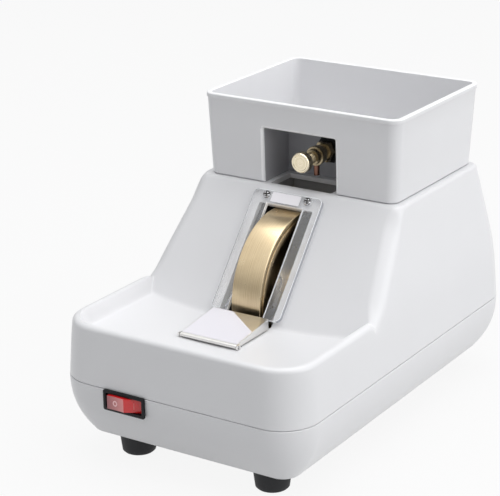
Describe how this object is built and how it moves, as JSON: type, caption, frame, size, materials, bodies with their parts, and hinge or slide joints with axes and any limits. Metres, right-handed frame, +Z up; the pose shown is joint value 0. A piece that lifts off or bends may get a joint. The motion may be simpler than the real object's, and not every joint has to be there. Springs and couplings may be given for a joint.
{
  "type": "hand lens edger",
  "caption": "Bench-top hand lens edger: a light grey casing with a drip tank and valve over a slotted splash guard, a bronze grinding wheel and a small steel lens rest.",
  "frame": {"origin": "centre of the whole footprint box at the level of the feet's undersides", "axes": "+X to the machine's right, +Y from the switch side towards the mains inlet at the back, +Z up"},
  "size_m": [0.175, 0.2926, 0.2029],
  "materials": {
    "aluminium": "cast aluminium",
    "black_nylon": "black moulded nylon",
    "black_rubber": "matt black rubber",
    "bronze_bond": "finely turned bronze-coloured diamond band",
    "capacitor_case": "off-white capacitor case",
    "clear_acrylic": "clear polished acrylic",
    "copper_tube": "drawn copper tube",
    "dark_plastic": "dark grey moulded plastic",
    "motor_paint": "dark enamelled laminations",
    "plated_steel": "bright plated steel",
    "red_lens": "translucent red polycarbonate",
    "shell_grey": "semi-gloss light grey moulded ABS",
    "stainless_steel": "polished stainless sheet",
    "turned_brass": "turned brass"
  },
  "bodies": {
    "casing": {"base_tray": "shell_grey", "bearing_front": "stainless_steel", "bearing_rear": "stainless_steel", "capacitor_clip": "plated_steel", "case_screw_front_left": "plated_steel", "case_screw_front_right": "plated_steel", "case_screw_rear_left": "plated_steel", "case_screw_rear_right": "plated_steel", "drain_hose": "black_rubber", "drain_spout": "black_nylon", "foot_front_left": "black_rubber", "foot_front_right": "black_rubber", "foot_rear_left": "black_rubber", "foot_rear_right": "black_rubber", "foot_screw_front_left": "plated_steel", "foot_screw_front_right": "plated_steel", "foot_screw_rear_left": "plated_steel", "foot_screw_rear_right": "plated_steel", "guard_screw_left": "plated_steel", "guard_screw_right": "plated_steel", "inlet_screw_1": "plated_steel", "inlet_screw_2": "plated_steel", "mains_inlet": "black_nylon", "motor_body": "motor_paint", "motor_mount": "aluminium", "motor_shield_rear": "aluminium", "mount_screw_front_left": "plated_steel", "mount_screw_front_right": "plated_steel", "mount_screw_rear_left": "plated_steel", "mount_screw_rear_right": "plated_steel", "outlet_pipe": "copper_tube", "rest_hinge_leaf": "stainless_steel", "rest_hinge_pin": "plated_steel", "run_capacitor": "capacitor_case", "shaft_seal": "black_rubber", "splash_guard": "clear_acrylic", "switch_body": "black_nylon", "upper_housing": "shell_grey", "valve_body": "turned_brass", "valve_lock_nut": "black_nylon", "valve_tank_nut": "turned_brass", "valve_tank_washer": "black_rubber", "valve_washer": "black_rubber", "water_tank": "shell_grey", "wheel_chamber": "dark_plastic"},
    "spindle": {"grinding_band": "bronze_bond", "wheel_core": "bronze_bond", "wheel_flange_inner": "stainless_steel", "wheel_flange_outer": "stainless_steel", "wheel_nut": "plated_steel", "motor_shaft": "stainless_steel", "rotor_core": "motor_paint"},
    "rocker": {"switch_rocker": "red_lens"},
    "rest": {"lens_rest": "stainless_steel"},
    "knob": {"valve_knob": "turned_brass", "valve_needle": "stainless_steel"}
  },
  "joints": [
    {"name": "wheel_spin", "type": "hinge", "parent": "casing", "child": "spindle", "pos_m": [-0.003, -0.00557, 0.0857], "axis": [1, 0, 0], "continuous": true},
    {"name": "rocker_tilt", "type": "hinge", "parent": "casing", "child": "rocker", "pos_m": [-0.03335, -0.13897, 0.04805], "axis": [0, 0, 1], "range_deg": [-24, 0]},
    {"name": "rest_lift", "type": "hinge", "parent": "casing", "child": "rest", "pos_m": [-0.003, -0.09697, 0.07906], "axis": [1, 0, 0], "range_deg": [0, 105]},
    {"name": "knob_turn", "type": "hinge", "parent": "casing", "child": "knob", "pos_m": [0.0063, 0.00193, 0.1684], "axis": [0, -1, 0], "range_deg": [0, 720]}
  ]
}
